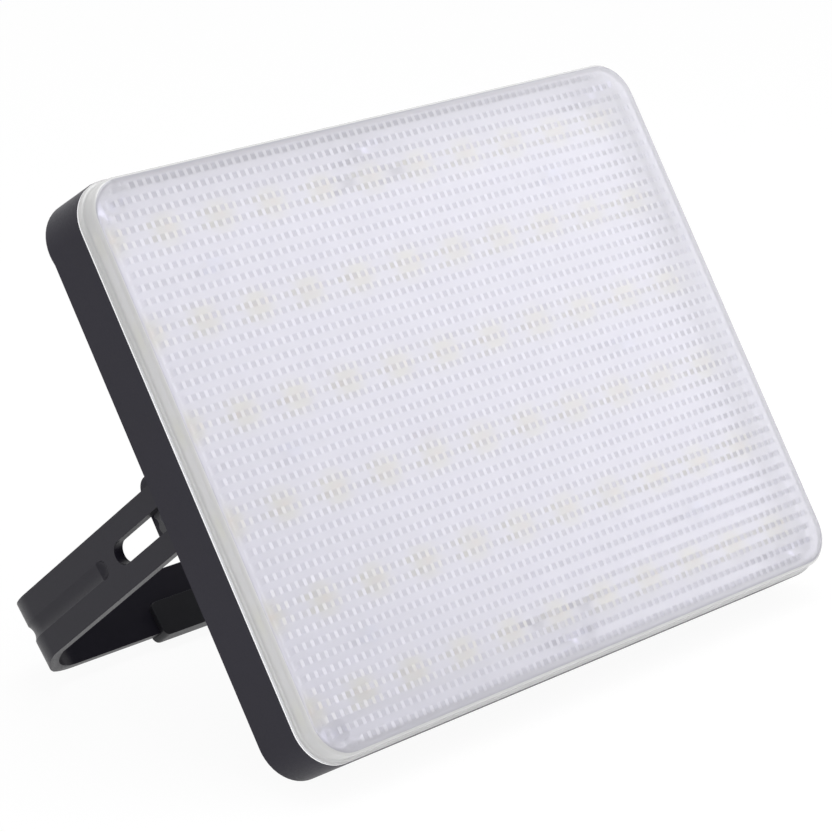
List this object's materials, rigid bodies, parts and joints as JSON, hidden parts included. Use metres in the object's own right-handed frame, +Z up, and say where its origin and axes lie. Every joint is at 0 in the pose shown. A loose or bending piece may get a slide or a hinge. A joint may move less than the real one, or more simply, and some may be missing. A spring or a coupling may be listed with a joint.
{
  "type": "led work light",
  "caption": "Slim rectangular LED work light with a prismatic wrap-over lens, a ribbed cast back with a switch box and a folding U-shaped stand.",
  "frame": {"origin": "on the ground, under the middle of the standing light", "axes": "+X along the width of the head, -Y the way the light shines, +Z up"},
  "size_m": [0.26, 0.159, 0.1807],
  "materials": {
    "charcoal_cast": "satin charcoal powder coat on die-cast aluminium",
    "charcoal_plastic": "moulded charcoal glass-filled nylon, satin",
    "clear_prismatic": "clear prismatic moulded polycarbonate",
    "black_rubber": "matt black moulded rubber",
    "white_solder_mask": "white solder mask on an aluminium-core board",
    "phosphor": "pale yellow phosphor in white LED packages",
    "black_nylon": "moulded black nylon",
    "grey_silicone": "soft grey heat-transfer pad",
    "zinc_steel": "bright zinc-plated steel",
    "black_steel": "black zinc-plated steel",
    "wire_jacket": "coloured wire jacket",
    "ivory_nylon": "moulded ivory nylon",
    "brass": "turned brass"
  },
  "bodies": {
    "head": {"rear_housing": "charcoal_cast", "lens_cover": "clear_prismatic", "lens_seal": "black_rubber", "led_board": "white_solder_mask", "led_chips": "phosphor", "driver_chips": "black_nylon", "thermal_pad": "grey_silicone", "board_screws": "zinc_steel", "lens_screws": "zinc_steel", "lead_wires": "wire_jacket", "wire_grommet": "black_rubber", "terminal_block": "ivory_nylon", "terminal_screws": "brass", "junction_cover": "charcoal_plastic", "junction_seal": "black_rubber", "junction_screws": "zinc_steel", "switch_body": "black_nylon", "gland_body": "black_nylon", "gland_locknut": "black_nylon", "gland_seal": "black_rubber", "gland_nut": "black_nylon", "pivot_bolts": "black_steel", "index_discs": "black_nylon", "spring_washers": "zinc_steel", "pivot_nuts": "zinc_steel"},
    "stand": {"stand_bracket": "charcoal_plastic", "foot_pad": "black_rubber"},
    "rocker": {"switch_rocker": "black_nylon"}
  },
  "joints": [
    {"name": "stand_fold", "type": "hinge", "parent": "head", "child": "stand", "pos_m": [0, -0.00644, 0.07843], "axis": [1, 0, 0], "range_deg": [-73, 90]},
    {"name": "rocker_tilt", "type": "hinge", "parent": "head", "child": "rocker", "pos_m": [0.027, 0.00808, 0.07576], "axis": [1, 0, 0], "range_deg": [-16, 0]}
  ]
}
